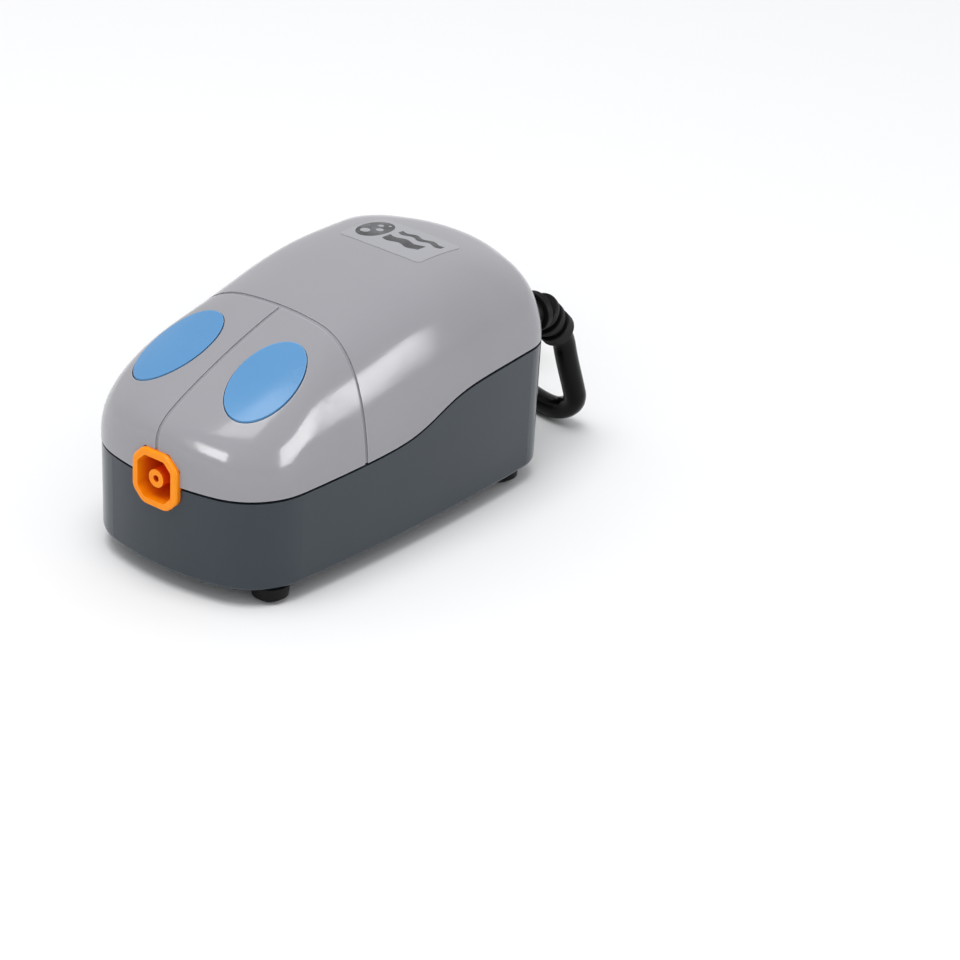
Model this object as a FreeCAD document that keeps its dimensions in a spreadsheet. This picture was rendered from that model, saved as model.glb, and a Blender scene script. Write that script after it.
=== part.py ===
"""Aquarium air pump: a two-part casing with a vibrating-armature diaphragm pump inside.

Millimetres, +Z up. X is the width, the outlet nozzle faces -Y and the mains cord leaves at +Y.
The origin is on the table under the middle of the casing, feet and nozzle.
"""
import FreeCAD, Part
import math
import os
import re
import Sketcher
from FreeCAD import Placement, Rotation, Vector

SIZES = {
    # casing outline, made of arcs that meet in tangency
    "case_width": 60.0,
    "case_length": 106.5,
    "widest_y": 7.0,
    "front_arc": 60.2,
    "side_arc": 512.0,
    "rear_arc": 118.9,
    "front_corner": 16.9,
    "rear_corner": 10.8,
    # casing heights
    "base_bottom": 4.05,
    "base_draft": 0.5,
    "base_edge_round": 1.4,
    "seam_front": 26.1,
    "seam_rise": 7.0,
    "seam_slope": 0.0206,
    "seam_middle": 7.06,
    "seam_softness": 4.7,
    "seam_gap": 0.7,
    "crown_top": 58.7,
    "crown_y": 19.0,
    "crown_radius": 200.0,
    "crown_fall": 1.25,
    # how squarely the cover turns into its sides, front and rear walls
    "side_run": 4.85,
    "side_turn": 1.5,
    "front_run": 28.0,
    "front_turn": 8.0,
    "rear_run": 11.5,
    "rear_turn": 4.7,
    "run_blend": 6.0,
    # soft hollow of the front shoulders, on both sides of the ridge
    "hollow_deep": 0.8,
    "hollow_end_y": -5.0,
    "hollow_fade": 6.0,
    # points of the cover's surface
    "rim_points": 72,
    "rim_levels": 30,
    "skirt_low": 18.0,
    "crown_share": 0.02,
    # walls and the tongue between base and cover
    "wall": 2.0,
    "tongue_gap": 0.25,
    "tongue_wide": 1.2,
    "tongue_high": 1.6,
    "floor_thick": 2.0,
    # decoration of the cover
    "groove_wide": 1.0,
    "groove_deep": 0.4,
    "groove_y": -13.2,
    "groove_bow": 111.0,
    "oval_x": 13.0,
    "oval_y": -32.7,
    "oval_half_wide": 7.4,
    "oval_half_long": 11.4,
    "oval_turn": 6.9,
    "oval_gap": 0.25,
    "oval_deep": 1.0,
    "oval_proud": 0.25,
    "label_y": 27.0,
    "label_wide": 24.0,
    "label_long": 15.5,
    "label_thick": 0.12,
    # outlet nozzle
    "nozzle_wide": 13.4,
    "nozzle_high": 13.8,
    "nozzle_corner": 3.1,
    "nozzle_front": 54.1,
    "nozzle_back": 44.3,
    "nozzle_z": 26.5,
    "nozzle_rim": 1.75,
    "nozzle_throat": 2.5,
    "nozzle_depth": 8.0,
    "nozzle_round": 3.2,
    "mouth_round": 1.2,
    "nozzle_lip": 0.6,
    "nipple_tip": 2.15,
    "nipple_root": 2.7,
    "nipple_set_back": 0.7,
    "nipple_bore": 0.8,
    "barb_reach": 4.0,
    "barb_radius": 1.8,
    # air hose inside
    "hose_radius": 2.6,
    "hose_bore": 1.8,
    # feet and screws
    "foot_x": 22.0,
    "foot_y": 40.0,
    "foot_radius": 4.5,
    "foot_stem": 1.8,
    "post_x": 21.5,
    "post_front": 24.0,
    "post_rear": 30.0,
    "post_radius": 4.3,
    "post_top": 20.0,
    "screw_radius": 1.5,
    "screw_head": 2.8,
    "screw_seat": 10.0,
    "small_screw": 1.1,
    "small_head": 2.0,
    # armature
    "pivot_y": -34.0,
    "pivot_z": 29.5,
    "pivot_pin": 1.5,
    "pivot_play": 0.05,
    "bushing_radius": 2.6,
    "bracket_half": 15.0,
    "bracket_sheet": 3.0,
    "bracket_long": 8.0,
    "arm_half": 5.0,
    "arm_thick": 2.0,
    "arm_end": 5.0,
    "arm_plate_half": 9.0,
    "magnet_long": 10.0,
    "magnet_deep": 4.0,
    "magnet_high": 7.0,
    "magnet_pitch": 9.0,
    "magnet_z": 26.0,
    # electromagnet
    "core_front": 13.0,
    "core_long": 24.0,
    "core_leg": 6.0,
    "core_slot": 7.0,
    "core_half": 7.0,
    "bobbin_front": 15.0,
    "bobbin_long": 16.0,
    "bobbin_half_wide": 13.0,
    "bobbin_half_high": 9.9,
    "bobbin_wall": 1.0,
    "bobbin_play": 0.2,
    "flange_thick": 1.5,
    "coil_inset": 1.0,
    "cradle_half": 9.0,
    "cradle_ear": 20.0,
    # pump chamber
    "chamber_y": -12.0,
    "chamber_half_wide": 13.0,
    "chamber_half_long": 12.0,
    "chamber_lid_z": 8.05,
    "chamber_lid": 2.0,
    "gasket_thick": 0.7,
    "chamber_high": 9.0,
    "port_x": 6.0,
    "port_pocket": 3.6,
    "port_hole": 1.5,
    "port_pocket_deep": 5.0,
    "cavity_radius": 8.0,
    "cavity_deep": 3.0,
    "chamber_screw_x": 10.7,
    "chamber_screw_y": 9.7,
    "clamp_thick": 1.5,
    "flap_radius": 2.8,
    "flap_thick": 0.5,
    "diaphragm_rim": 10.0,
    "diaphragm_skin": 1.0,
    "diaphragm_high": 7.25,
    "diaphragm_top": 5.2,
    "disc_radius": 4.6,
    # air intake in the floor
    "filter_y": 41.5,
    "filter_cover": 7.0,
    "filter_felt": 5.8,
    "filter_cover_thick": 1.2,
    "filter_felt_thick": 3.0,
    "filter_collar": 7.6,
    # strain relief and mains cord
    "relief_x": 19.0,
    "relief_z": 37.5,
    "relief_inner_y": 46.0,
    "relief_bend_y": 53.5,
    "relief_bend": 5.0,
    "relief_tail": 9.2,
    "relief_core": 3.4,
    "relief_flange": 4.4,
    "relief_rib": 4.8,
    "relief_taper": 0.15,
    "relief_round": 0.35,
    "cord_radius": 2.75,
    "cord_clear": 0.1,
    "lead_radius": 0.8,
    # spare cord, wound in a coil behind the pump, with the plug lying on it
    "hank_x": -49.5,
    "hank_y": 84.0,
    "hank_mean": 26.0,
    "hank_pitch": 5.5,
    "plug_x": -57.6,
    "plug_y": 63.8,
    "plug_turn": 20.0,
    "plug_long": 37.0,
    "plug_half_wide": 17.5,
    "plug_neck": 5.5,
    "plug_thick": 14.0,
    "plug_round": 2.6,
    "pin_radius": 2.0,
    "pin_pitch": 18.6,
    "pin_long": 19.0,
    "pin_sleeve": 10.0,
}

doc = FreeCAD.newDocument("aquarium_air_pump")
sheet = doc.addObject("Spreadsheet::Sheet", "Sizes")
for row, (alias, value) in enumerate(SIZES.items(), 1):
    sheet.set("A%d" % row, alias)
    sheet.set("B%d" % row, str(value))
    sheet.setAlias("B%d" % row, alias)
doc.recompute()

ALONG = {
    "z": Rotation(),
    "y": Rotation(Vector(1, 0, 0), -90),
    "x": Rotation(Vector(0, 1, 0), 90),
}
NODES = []


# ---------------------------------------------------------------- helpers for the document

def size(alias):
    """The number in the sheet's cell of that name."""
    return float(getattr(sheet, alias))


def expr(text):
    """An expression in which each word that names a cell refers to the sheet."""
    return re.sub(r"[a-z_]{4,}", lambda m: "Sizes." + m[0] if m[0] in SIZES else m[0], str(text))


def bind(item, **expressions):
    for name, text in expressions.items():
        item.setExpression(name, expr(text))
    return item


def place(item, x=0, y=0, z=0, along="z"):
    item.Placement = Placement(Vector(), ALONG[along])
    for axis, text in zip("xyz", (x, y, z)):
        item.setExpression("Placement.Base." + axis, expr(text))
    return item


def box(name, long, wide, high, x, y, z):
    """A block centred on x and y, standing on z."""
    item = doc.addObject("Part::Box", name)
    bind(item, Length=long, Width=wide, Height=high)
    return place(item, "%s - (%s) / 2" % (x, long), "%s - (%s) / 2" % (y, wide), z)


def rod(name, radius, high, x, y, z, along="z"):
    item = doc.addObject("Part::Cylinder", name)
    bind(item, Radius=radius, Height=high)
    return place(item, x, y, z, along)


def fuse(name, *items):
    item = doc.addObject("Part::MultiFuse", name)
    item.Shapes = list(items)
    return item


def cut(name, base, *tools):
    item = doc.addObject("Part::Cut", name)
    item.Base = base
    item.Tool = tools[0] if len(tools) == 1 else fuse(name + "_tools", *tools)
    return item


def common(name, base, tool):
    item = doc.addObject("Part::Common", name)
    item.Base = base
    item.Tool = tool
    return item


def feature(name, shape):
    item = doc.addObject("Part::Feature", name)
    item.Shape = shape
    return item


def node(item, label):
    """Names the finished sub-part and lists it for writing."""
    item.Label = label
    NODES.append(item)
    return item


def profile_sketch(body, name, role, corners):
    """A closed outline on one of the body's planes, each corner held by two bound distances."""
    sketch = body.newObject("Sketcher::SketchObject", name)
    plane = [p for p in body.Origin.OriginFeatures if p.Role == role][0]
    sketch.AttachmentSupport = [(plane, "")]
    sketch.MapMode = "FlatFace"
    count = len(corners)
    start = [
        Vector(10 * math.cos(2 * math.pi * i / count), 10 * math.sin(2 * math.pi * i / count), 0)
        for i in range(count)
    ]
    for i in range(count):
        sketch.addGeometry(Part.LineSegment(start[i], start[(i + 1) % count]), False)
    for i in range(count):
        sketch.addConstraint(Sketcher.Constraint("Coincident", i, 2, (i + 1) % count, 1))
    for i, (across, up) in enumerate(corners):
        for kind, text, now in (("DistanceX", across, start[i].x), ("DistanceY", up, start[i].y)):
            index = sketch.addConstraint(Sketcher.Constraint(kind, -1, 1, i, 1, now))
            sketch.setExpression("Constraints[%d]" % index, expr(text))
    return sketch


def padded_body(label, role, corners, length):
    """A body made by padding one outline evenly to both sides of its plane."""
    body = doc.addObject("PartDesign::Body", label)
    sketch = profile_sketch(body, label + "_outline", role, corners)
    pad = body.newObject("PartDesign::Pad", label + "_pad")
    pad.Profile = sketch
    pad.Midplane = True
    bind(pad, Length=length)
    doc.recompute()
    return body


def turned_body(label, corners):
    """A body turned about Z from an outline of (radius, height) corners on the XZ plane."""
    body = doc.addObject("PartDesign::Body", label)
    sketch = profile_sketch(body, label + "_outline", "XZ_Plane", corners)
    turn = body.newObject("PartDesign::Revolution", label + "_turn")
    turn.Profile = sketch
    turn.ReferenceAxis = (sketch, ["V_Axis"])
    turn.Angle = 360
    doc.recompute()
    return body


# ---------------------------------------------------------------- geometry of the casing

def seam_height(y):
    """Height of the parting line, which climbs in a soft S from front to rear."""
    step = 1 / (1 + math.exp(-(y - size("seam_middle")) / size("seam_softness")))
    front = -size("case_length") / 2
    return size("seam_front") + size("seam_rise") * step + size("seam_slope") * (y - front)


def crown_height(y):
    """Height of the cover's ridge line."""
    reach = math.hypot(size("crown_radius"), size("crown_fall") * (y - size("crown_y")))
    return size("crown_top") + size("crown_radius") - reach


def outline_arcs(inset):
    """The right half of the plan outline: (centre, radius, start, end), front to rear."""
    half = size("case_length") / 2
    side = Vector(size("case_width") / 2 - size("side_arc"), size("widest_y"), 0)
    front = Vector(0, size("front_arc") - half, 0)
    rear = Vector(0, half - size("rear_arc"), 0)

    def corner(big, big_radius, small_radius, way):
        """Centre of a corner arc that touches the side arc and an end arc from inside."""
        a = size("side_arc") - small_radius
        b = big_radius - small_radius
        gap = big - side
        along = (a * a - b * b + gap.Length ** 2) / (2 * gap.Length)
        off = math.sqrt(a * a - along * along)
        unit = Vector(gap).normalize()
        normal = Vector(-unit.y, unit.x, 0)
        ends = (side + unit * along + normal * off, side + unit * along - normal * off)
        return max(ends, key=lambda p: way * p.y)

    def heading(point, centre):
        return math.atan2(point.y - centre.y, point.x - centre.x)

    near = corner(front, size("front_arc"), size("front_corner"), -1)
    far = corner(rear, size("rear_arc"), size("rear_corner"), 1)
    turns = [
        -math.pi / 2,
        heading(near, front),
        heading(near, side),
        heading(far, side),
        heading(far, rear),
        math.pi / 2,
    ]
    centres = [front, near, side, far, rear]
    radii = [size(a) for a in ("front_arc", "front_corner", "side_arc", "rear_corner", "rear_arc")]
    return [
        (centres[i], radii[i] - inset, turns[i], turns[i + 1])
        for i in range(5)
    ]


def on_arc(arc, turn):
    centre, radius, _, _ = arc
    return centre + Vector(radius * math.cos(turn), radius * math.sin(turn), 0)


def outline_wire(inset, z):
    """The whole plan outline at one height, as ten arcs."""
    edges = []
    for arc in outline_arcs(inset):
        turns = (arc[2], (arc[2] + arc[3]) / 2, arc[3])
        right = [on_arc(arc, turn) + Vector(0, 0, z) for turn in turns]
        left = [Vector(-p.x, p.y, p.z) for p in right]
        edges.append(Part.Arc(*right).toShape())
        edges.append(Part.Arc(*left).toShape())
    return Part.Wire(Part.__sortEdges__(edges))


def outline_block(inset, low, high):
    face = Part.Face(outline_wire(inset, low))
    return face.extrude(Vector(0, 0, high - low))


def outline_points(inset, count):
    """Points spaced evenly along the outline, from the front middle round by +X and back."""
    arcs = outline_arcs(inset)
    lengths = [radius * (end - start) for _, radius, start, end in arcs]
    total = sum(lengths)
    right = []
    for k in range(count // 2 + 1):
        left_over = total * k / (count // 2)
        for arc, length in zip(arcs, lengths):
            if left_over <= length + 1e-9:
                break
            left_over -= length
        right.append(on_arc(arc, arc[2] + left_over / arc[1]))
    left = [Vector(-p.x, p.y, 0) for p in reversed(right[:-1])]
    return right + left


def half_width(arcs, y):
    """Half the width of the plan outline at y."""
    for centre, radius, _, end in arcs:
        if y <= centre.y + radius * math.sin(end):
            break
    return centre.x + math.sqrt(max(0.0, radius ** 2 - (y - centre.y) ** 2))


def shoulder_hollow(arcs, x, y):
    """How far the front shoulders lie below the plain dome, nothing at the ridge and the rim."""
    share = abs(x) / max(half_width(arcs, y), abs(x), 0.001)
    fade = 1 / (1 + math.exp((y - size("hollow_end_y")) / size("hollow_fade")))
    return size("hollow_deep") * 4 * share ** 2 * (1 - share ** 2) * fade


def meridian(rim, inset):
    """Points from the rim of the cover up to its crown, evenly spaced along the surface."""
    arcs = outline_arcs(0)
    levels = int(size("rim_levels"))
    middle = size("widest_y")
    half = size("case_length") / 2
    reach = half + middle if rim.y < middle else half - middle
    lean = math.atan2(abs(rim.y - middle) / (reach - inset), abs(rim.x) / (size("case_width") / 2 - inset))
    share = math.sin(lean) ** size("run_blend")
    end = "front" if rim.y < middle else "rear"
    run = size("side_run") + (size(end + "_run") - size("side_run")) * share
    turn = size("side_turn") + (size(end + "_turn") - size("side_turn")) * share
    low = size("skirt_low")
    dense = [Vector(rim.x, rim.y, low + (seam_height(rim.y) - low) * k / 10) for k in range(10)]
    steps = 400
    for k in range(steps + 1):
        rise = math.sin(math.pi / 2 * k / steps) ** 2
        near = (1 - rise ** turn) ** (1 / run)
        even = 1 - k / steps
        for part in sorted({near, even}, reverse=True):
            if part < size("crown_share"):
                continue
            x = rim.x * part
            y = middle + (rim.y - middle) * part
            full = (1 - part ** run) ** (1 / turn)
            top = crown_height(y) - inset
            z = seam_height(y) + (top - seam_height(y)) * full
            dense.append(Vector(x, y, z - shoulder_hollow(arcs, x, y)))
    dense = dense[:10] + sorted(dense[10:], key=lambda p: -abs(p.x) - abs(p.y - middle))
    along = [0.0]
    for a, b in zip(dense, dense[1:]):
        along.append(along[-1] + (b - a).Length)
    points = []
    k = 0
    for level in range(levels + 1):
        wanted = along[-1] * level / levels
        while k < len(along) - 2 and along[k + 1] < wanted:
            k += 1
        span = along[k + 1] - along[k]
        points.append(dense[k] + (dense[k + 1] - dense[k]) * ((wanted - along[k]) / span if span else 0))
    return points


def woven_surface(columns):
    """A smooth surface through columns of points, closed around and open from rim to crown."""
    around = len(columns)
    levels = len(columns[0])
    hoops = []
    for level in range(levels):
        hoop = Part.BSplineCurve()
        hoop.interpolate(
            Points=[column[level] for column in columns],
            PeriodicFlag=True,
            Parameters=[k / around for k in range(around + 1)],
        )
        hoops.append(hoop)
    poles = []
    for i in range(hoops[0].NbPoles):
        rib = Part.BSplineCurve()
        rib.interpolate(
            Points=[hoop.getPole(i + 1) for hoop in hoops],
            Parameters=[k / (levels - 1) for k in range(levels)],
        )
        poles.append(rib.getPoles())
    surface = Part.BSplineSurface()
    surface.buildFromPolesMultsKnots(
        poles,
        hoops[0].getMultiplicities(),
        rib.getMultiplicities(),
        hoops[0].getKnots(),
        rib.getKnots(),
        True,
        False,
        3,
        3,
    )
    return surface


def cover_block(inset):
    """The cover's outer shape, solid and drawn in by an even amount, from below the seam up."""
    rims = outline_points(inset, int(size("rim_points")))[:-1]
    skin = woven_surface([meridian(rim, inset) for rim in rims]).toShape()
    closed = [e for e in skin.Edges if e.isClosed()]
    edges = sorted(closed, key=lambda e: e.BoundBox.ZMin + e.BoundBox.ZMax)
    floor = Part.Face(Part.Wire([edges[0]]))
    cap = Part.makeFilledFace([edges[-1]])
    shell = Part.Shell([skin, floor, cap])
    shell.sewShape()
    solid = Part.Solid(Part.Shell(shell.Faces))
    if solid.Volume < 0:
        solid.reverse()
    return solid


def below_seam(shift):
    """Everything under the parting line moved up by shift, across the whole width."""
    reach = 70
    line = [Vector(-50, y, seam_height(y) + shift) for y in range(-reach, reach + 1, 5)]
    curve = Part.BSplineCurve()
    curve.interpolate(line)
    low = [Vector(-50, reach, -10), Vector(-50, -reach, -10)]
    edges = [curve.toShape(), Part.makePolygon([line[-1]] + low + [line[0]])]
    face = Part.Face(Part.Wire(Part.__sortEdges__([edges[0]] + edges[1].Edges)))
    return face.extrude(Vector(100, 0, 0))


def octagon(margin, front, back, back_margin=None):
    """The nozzle's eight-sided outline, drawn in by a margin, from y = -front to y = -back."""
    wires = []
    for reach, inward in ((front, margin), (back, margin if back_margin is None else back_margin)):
        wide = size("nozzle_wide") / 2 - inward
        high = size("nozzle_high") / 2 - inward
        corner = size("nozzle_corner") - inward * (2 - math.sqrt(2))
        quarter = [(wide, high - corner), (wide - corner, high)]
        upper = quarter + [(-x, z) for x, z in reversed(quarter)]
        around = upper + [(-x, -z) for x, z in upper]
        corners = [Vector(x, -reach, size("nozzle_z") + z) for x, z in around]
        wires.append(Part.makePolygon(corners + [corners[0]]))
    return Part.makeLoft(wires, True, True)


def upright(radius, x, y, low, high):
    return Part.makeCylinder(radius, high - low, Vector(x, y, low))


def four_posts():
    """Where the four case screws stand."""
    return [
        (side * size("post_x"), y)
        for side in (-1, 1)
        for y in (-size("post_front"), size("post_rear"))
    ]


def four_feet():
    return [
        (side * size("foot_x"), end * size("foot_y"))
        for side in (-1, 1)
        for end in (-1, 1)
    ]


def chamber_corners():
    return [
        (side * size("chamber_screw_x"), size("chamber_y") + end * size("chamber_screw_y"))
        for side in (-1, 1)
        for end in (-1, 1)
    ]


def relief_hole():
    """The round hole through the rear wall for the strain relief, with room for its flange."""
    start = Vector(size("relief_x"), size("relief_inner_y"), size("relief_z"))
    axis = Vector(0, 1, 0)
    room = Part.makeCylinder(size("relief_flange") + 0.1, 12, start - axis * 9.9, axis)
    return room.fuse(Part.makeCylinder(size("relief_core"), 12, start, axis))


def oval_block(margin):
    """Two upright elliptical columns where the inlays sit; margin widens them."""
    columns = []
    for side in (-1, 1):
        middle = Vector(side * size("oval_x"), size("oval_y"), 30)
        long = size("oval_half_long") + margin
        wide = size("oval_half_wide") + margin
        turn = math.radians(size("oval_turn")) * side
        along = Vector(-math.sin(turn), math.cos(turn), 0)
        across = Vector(math.cos(turn), math.sin(turn), 0)
        ellipse = Part.Ellipse(middle + along * long, middle + across * wide, middle)
        face = Part.Face(Part.Wire([ellipse.toShape()]))
        columns.append(face.extrude(Vector(0, 0, 40)))
    return columns


# ---------------------------------------------------------------- casing

def base_housing():
    """The dark lower half: floor, walls, tongue, screw posts, foot holes and air intake."""
    low = size("base_bottom")
    floor = low + size("floor_thick")
    high = 48.0
    spread = size("base_draft") / (36 - low)
    wires = [outline_wire(size("base_draft") - spread * (z - low), z) for z in (low, high)]
    outer = Part.makeLoft(wires, True, True)
    bottom = [e for e in outer.Edges if e.BoundBox.ZMax < low + 0.01]
    outer = outer.makeFillet(size("base_edge_round"), bottom)
    outer = outer.common(below_seam(-size("seam_gap") / 2))
    tongue_out = size("wall") + size("tongue_gap")
    tongue_in = tongue_out + size("tongue_wide")
    tongue = outline_block(tongue_out, low + 3, high).common(below_seam(size("tongue_high")))
    shell = outer.fuse(tongue).cut(outline_block(tongue_in, floor, high))
    for x, y in four_posts():
        shell = shell.fuse(upright(size("post_radius"), x, y, low + 1, size("post_top")))
    for x, y in chamber_corners():
        shell = shell.fuse(upright(size("small_head") + 0.3, x, y, low + 1, size("chamber_lid_z")))
    collar_top = low + size("filter_cover_thick") + size("filter_felt_thick") + 1
    shell = shell.fuse(upright(size("filter_collar"), 0, size("filter_y"), low + 1, collar_top))
    holes = [relief_hole(), octagon(0, 60, 40)]
    for x, y in four_posts():
        holes.append(upright(size("screw_head") + 0.2, x, y, low - 1, size("screw_seat")))
        holes.append(upright(size("screw_radius"), x, y, low, size("post_top") + 1))
    for x, y in four_feet():
        holes.append(upright(size("foot_stem"), x, y, low - 1, floor + 1))
        holes.append(upright(size("foot_stem") + 0.8, x, y, floor, floor + 1.6))
    for x, y in chamber_corners():
        holes.append(upright(size("small_screw"), x, y, low + 1.5, size("chamber_lid_z") + 1))
    intake = low + size("filter_cover_thick")
    felt_top = intake + size("filter_felt_thick")
    holes.append(upright(size("filter_cover"), 0, size("filter_y"), low - 1, intake))
    holes.append(upright(size("filter_felt"), 0, size("filter_y"), low, felt_top))
    holes.append(upright(size("filter_felt") - 1.5, 0, size("filter_y"), low, collar_top + 1))
    return shell.cut(holes)


def top_cover(outer):
    """The light upper shell with its grooves, inlay pockets, bosses and openings."""
    shell = outer.cut(cover_block(size("wall")))
    for x, y in four_posts():
        boss = upright(size("post_radius") - 0.8, x, y, size("post_top"), 60)
        shell = shell.fuse(boss.common(outer))
    skin = outer.cut(cover_block(size("groove_deep")))
    half = size("groove_wide") / 2
    ridge = Part.makeBox(2 * half, 60 + size("groove_y"), 60, Vector(-half, -60, 20))
    bow = Vector(0, size("groove_y") - size("groove_bow"), 20)
    across = Part.makeCylinder(size("groove_bow") + half, 60, bow)
    across = across.cut(Part.makeCylinder(size("groove_bow") - half, 60, bow))
    across = across.common(Part.makeBox(80, 40, 60, Vector(-40, size("groove_y") - 20, 20)))
    tools = [skin.common(ridge), skin.common(across)]
    deep = outer.cut(cover_block(size("oval_deep")))
    tools += [deep.common(column) for column in oval_block(size("oval_gap"))]
    tools += [relief_hole(), octagon(0, 60, 40)]
    for x, y in four_posts():
        tools.append(upright(size("screw_radius"), x, y, size("post_top") - 1, 32))
    under = below_seam(size("seam_gap") / 2)
    posts = [upright(size("post_radius") - 0.8, x, y, size("post_top"), 40) for x, y in four_posts()]
    return shell.cut(under.cut(posts)).cut(tools)


def oval_inlays():
    """Two domed colour inlays that stand a little proud of the cover."""
    slice_high = cover_block(-size("oval_proud")).cut(cover_block(size("oval_deep")))
    return [slice_high.common(column) for column in oval_block(0)]


def top_label(outer):
    """A clear sticker that follows the hump behind the cross groove."""
    wide = size("label_wide")
    long = size("label_long")
    sheet_block = Part.makeBox(wide, long, 20, Vector(-wide / 2, size("label_y") - long / 2, 48))
    upright_edges = [e for e in sheet_block.Edges if e.BoundBox.ZLength > 10]
    sheet_block = sheet_block.makeFillet(1.5, upright_edges)
    film = cover_block(-size("label_thick")).cut(outer)
    return film.common(sheet_block)


cover_outer = cover_block(0)
node(feature("base_housing_part", base_housing()), "base_housing")
node(feature("top_cover_part", top_cover(cover_outer)), "top_cover")
for side, inlay in zip(("left", "right"), oval_inlays()):
    node(feature("oval_%s_part" % side, inlay), "oval_inlay_" + side)
node(feature("label_part", top_label(cover_outer)), "top_label")


# ---------------------------------------------------------------- outlet nozzle and hose

def outlet_nozzle():
    """An eight-sided cup with the hose nipple standing in it and a barb behind."""
    cup = octagon(0, size("nozzle_front"), size("nozzle_back"))
    long_edges = [e for e in cup.Edges if e.BoundBox.YLength > 5]
    cup = cup.makeFillet(size("nozzle_round"), long_edges)
    lip = [e for e in cup.Edges if e.BoundBox.YMax < 0.01 - size("nozzle_front")]
    cup = cup.makeFillet(size("nozzle_lip"), lip)
    mouth_back = size("nozzle_front") - size("nozzle_depth")
    front = size("nozzle_front") + 0.01
    mouth = octagon(size("nozzle_rim"), front, mouth_back, size("nozzle_throat"))
    mouth_edges = [e for e in mouth.Edges if e.BoundBox.YLength > 5]
    cup = cup.cut(mouth.makeFillet(size("mouth_round"), mouth_edges))
    axis = Vector(0, 1, 0)
    tip_y = -size("nozzle_front") + size("nipple_set_back")
    tip = Vector(0, tip_y, size("nozzle_z"))
    reach = -mouth_back - tip_y
    nipple = Part.makeCylinder(size("nipple_tip"), reach + 0.5, tip, axis)
    foot_start = tip + axis * (reach - 1.2)
    flare = Part.makeCone(size("nipple_tip"), size("nipple_root"), 1.2, foot_start, axis)
    back = Vector(0, -size("nozzle_back") - 0.5, size("nozzle_z"))
    barb = Part.makeCylinder(size("barb_radius"), size("barb_reach") + 0.5, back, axis)
    bore = Part.makeCylinder(size("nipple_bore"), 30, tip - axis, axis)
    return cup.fuse([nipple, flare, barb]).cut(bore)


def rounded_path(points, report=None):
    """Straight runs joined by tangent arcs, as large as the shorter run of each corner allows."""
    edges = []
    start = points[0]
    for i in range(1, len(points) - 1):
        before = points[i - 1] - points[i]
        after = points[i + 1] - points[i]
        run = min(before.Length, after.Length)
        half_turn = (math.pi - before.getAngle(after)) / 2
        reach = 0.45 * run
        radius = reach / math.tan(half_turn)
        one = points[i] + Vector(before).normalize() * reach
        two = points[i] + Vector(after).normalize() * reach
        inward = (one + two) * 0.5 - points[i]
        middle = points[i] + inward.normalize() * (radius / math.cos(half_turn) - radius)
        edges.append(Part.LineSegment(start, one).toShape())
        edges.append(Part.Arc(one, middle, two).toShape())
        start = two
        if report is not None:
            report.append(round(radius, 1))
    edges.append(Part.LineSegment(start, points[-1]).toShape())
    return Part.Wire(edges)


def tube(points, radius, report=None):
    """A round bar along a rounded path."""
    path = rounded_path(points, report)
    circle = Part.Circle(points[0], points[1] - points[0], radius)
    ring = Part.Wire([circle.toShape()])
    bar = path.makePipeShell([ring], True, False)
    return bar, path.Length


def outlet_hose():
    chamber_front = size("chamber_y") - size("chamber_half_long")
    port_z = size("chamber_lid_z") + size("chamber_lid") + size("gasket_thick") + 2.5
    route = [
        Vector(0, -size("nozzle_back"), size("nozzle_z")),
        Vector(0, -size("nozzle_back") + 3.8, size("nozzle_z")),
        Vector(size("port_x") / 2, chamber_front - 12, size("nozzle_z") - 7.8),
        Vector(size("port_x"), chamber_front - 6, port_z),
        Vector(size("port_x"), chamber_front, port_z),
    ]
    outer, _ = tube(route, size("hose_radius"))
    inner, _ = tube(route, size("hose_bore"))
    return outer.cut(inner)


node(feature("nozzle_part", outlet_nozzle()), "outlet_nozzle")
node(feature("hose_part", outlet_hose()), "outlet_hose")


# ---------------------------------------------------------------- feet, screws and air intake

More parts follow.
